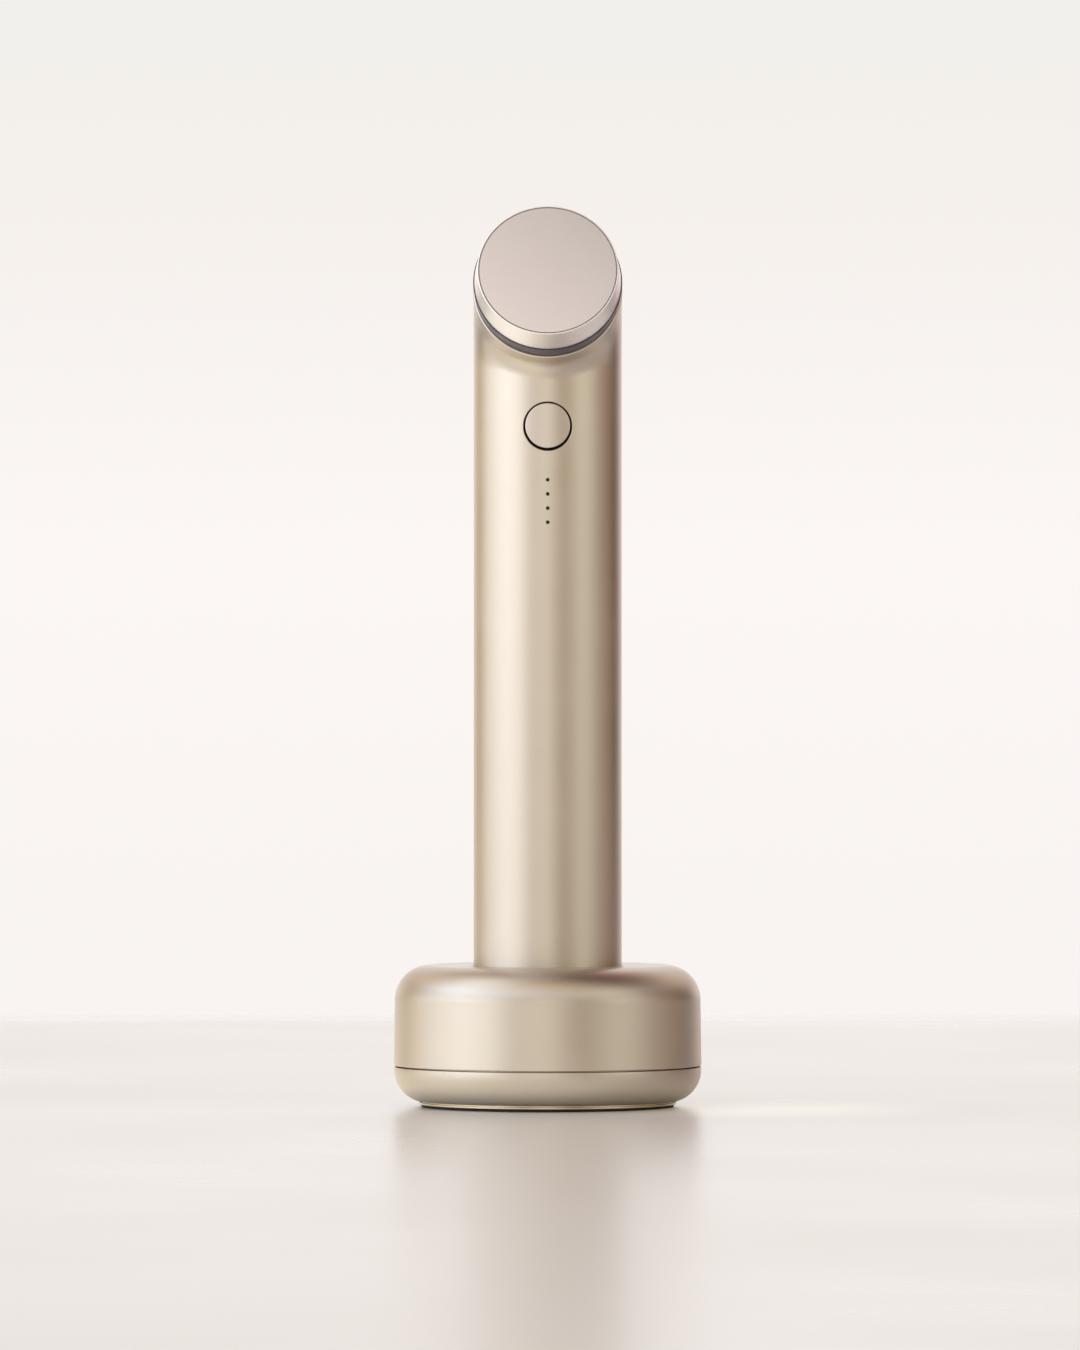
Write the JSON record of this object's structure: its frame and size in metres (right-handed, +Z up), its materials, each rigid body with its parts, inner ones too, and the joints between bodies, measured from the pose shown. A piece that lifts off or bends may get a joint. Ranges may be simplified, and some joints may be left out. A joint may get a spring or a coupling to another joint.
{
  "type": "ultrasonic facial device",
  "caption": "Slim round handle bent at the top into a flat round treatment head with a light ring, a push button and indicator dots, standing in a round charging dock.",
  "frame": {"origin": "centre of the rubber foot's underside, on the table", "axes": "+Z up along the handle's axis; the treatment head and the button face -Y; +X is to the right as seen from the front"},
  "size_m": [0.0665, 0.0664, 0.1936],
  "materials": {
    "champagne_metal": "bead-blasted and anodised champagne, satin",
    "button_metal": "bead-blasted and anodised champagne, a little smoother",
    "gold_plate": "spun and anodised gold, semi-gloss",
    "head_metal": "bead-blasted face, polished tapered side",
    "smoked_ring": "smoked violet translucent, glossy",
    "piezo_ceramic": "silvered ceramic",
    "grey_silicone": "matte silicone",
    "black_plastic": "fine spark texture",
    "seal_rubber": "smooth",
    "circuit_board": "solder mask",
    "led": "clear resin",
    "red_wire": "smooth insulation",
    "black_wire": "smooth insulation",
    "chip_black": "moulded epoxy",
    "ferrite": "sintered ferrite",
    "steel_screw": "zinc plated",
    "cell_wrap": "shrink-wrapped cell, bulk density near 2.7",
    "nickel": "nickel plated",
    "dark_light_pipe": "dark tinted acrylic",
    "contact_gold": "gold plated",
    "cast_ballast": "cast and blackened",
    "foot_rubber": "fine matte grain"
  },
  "bodies": {
    "dock": {"dock_upper_shell": "champagne_metal", "dock_lower_shell": "champagne_metal", "dock_well_cup": "black_plastic", "seat_pad": "grey_silicone", "ballast_weight": "cast_ballast", "dock_board": "circuit_board", "dock_board_chips": "chip_black", "dock_board_screws": "steel_screw", "pogo_block": "black_plastic", "pogo_barrels": "contact_gold", "pogo_springs": "nickel", "usb_c_shell": "nickel", "usb_c_tongue": "chip_black", "dock_screws": "steel_screw", "base_plate": "gold_plate", "base_plate_screws": "steel_screw", "rubber_foot": "foot_rubber"},
    "wand": {"handle_tube": "champagne_metal", "treatment_head_cap": "head_metal", "head_light_ring": "smoked_ring", "transducer_disc": "piezo_ceramic", "transducer_damping_ring": "grey_silicone", "head_carrier": "black_plastic", "head_seal": "seal_rubber", "light_ring_board": "circuit_board", "light_ring_leds": "led", "head_harness": "red_wire", "chassis": "black_plastic", "main_board": "circuit_board", "board_chips": "chip_black", "drive_transformer": "ferrite", "board_screws": "steel_screw", "battery_cell": "cell_wrap", "battery_tabs": "nickel", "button_membrane": "grey_silicone", "button_bracket": "black_plastic", "switch_body": "chip_black", "indicator_light_pipes": "dark_light_pipe", "indicator_leds": "led", "end_cap": "black_plastic", "end_cap_seal": "seal_rubber", "end_cap_screws": "steel_screw", "charge_contacts": "contact_gold", "charge_leads": "black_wire"},
    "button": {"power_button": "button_metal"},
    "plunger": {"switch_plunger": "chip_black"},
    "pins": {"pogo_plungers": "contact_gold"}
  },
  "joints": [
    {"name": "wand_lift", "type": "slide", "parent": "dock", "child": "wand", "axis": [0, 0, 1], "range_m": [0, 0.05]},
    {"name": "button_press", "type": "slide", "parent": "wand", "child": "button", "axis": [0, 1, 0], "range_m": [0, 0.0005], "stiffness_N_per_m": 1200, "springref_m": -0.001, "deforming": ["button_membrane"]},
    {"name": "switch_press", "type": "slide", "parent": "wand", "child": "plunger", "axis": [0, 1, 0], "range_m": [0, 0.0005]},
    {"name": "pin_rise", "type": "slide", "parent": "dock", "child": "pins", "axis": [0, 0, 1], "range_m": [0, 0.0006], "deforming": ["pogo_springs"]}
  ],
  "couplings": [
    {"joint": "switch_press", "follows": "button_press", "ratio": 1},
    {"joint": "pin_rise", "follows": "wand_lift", "ratio": 0.012}
  ]
}
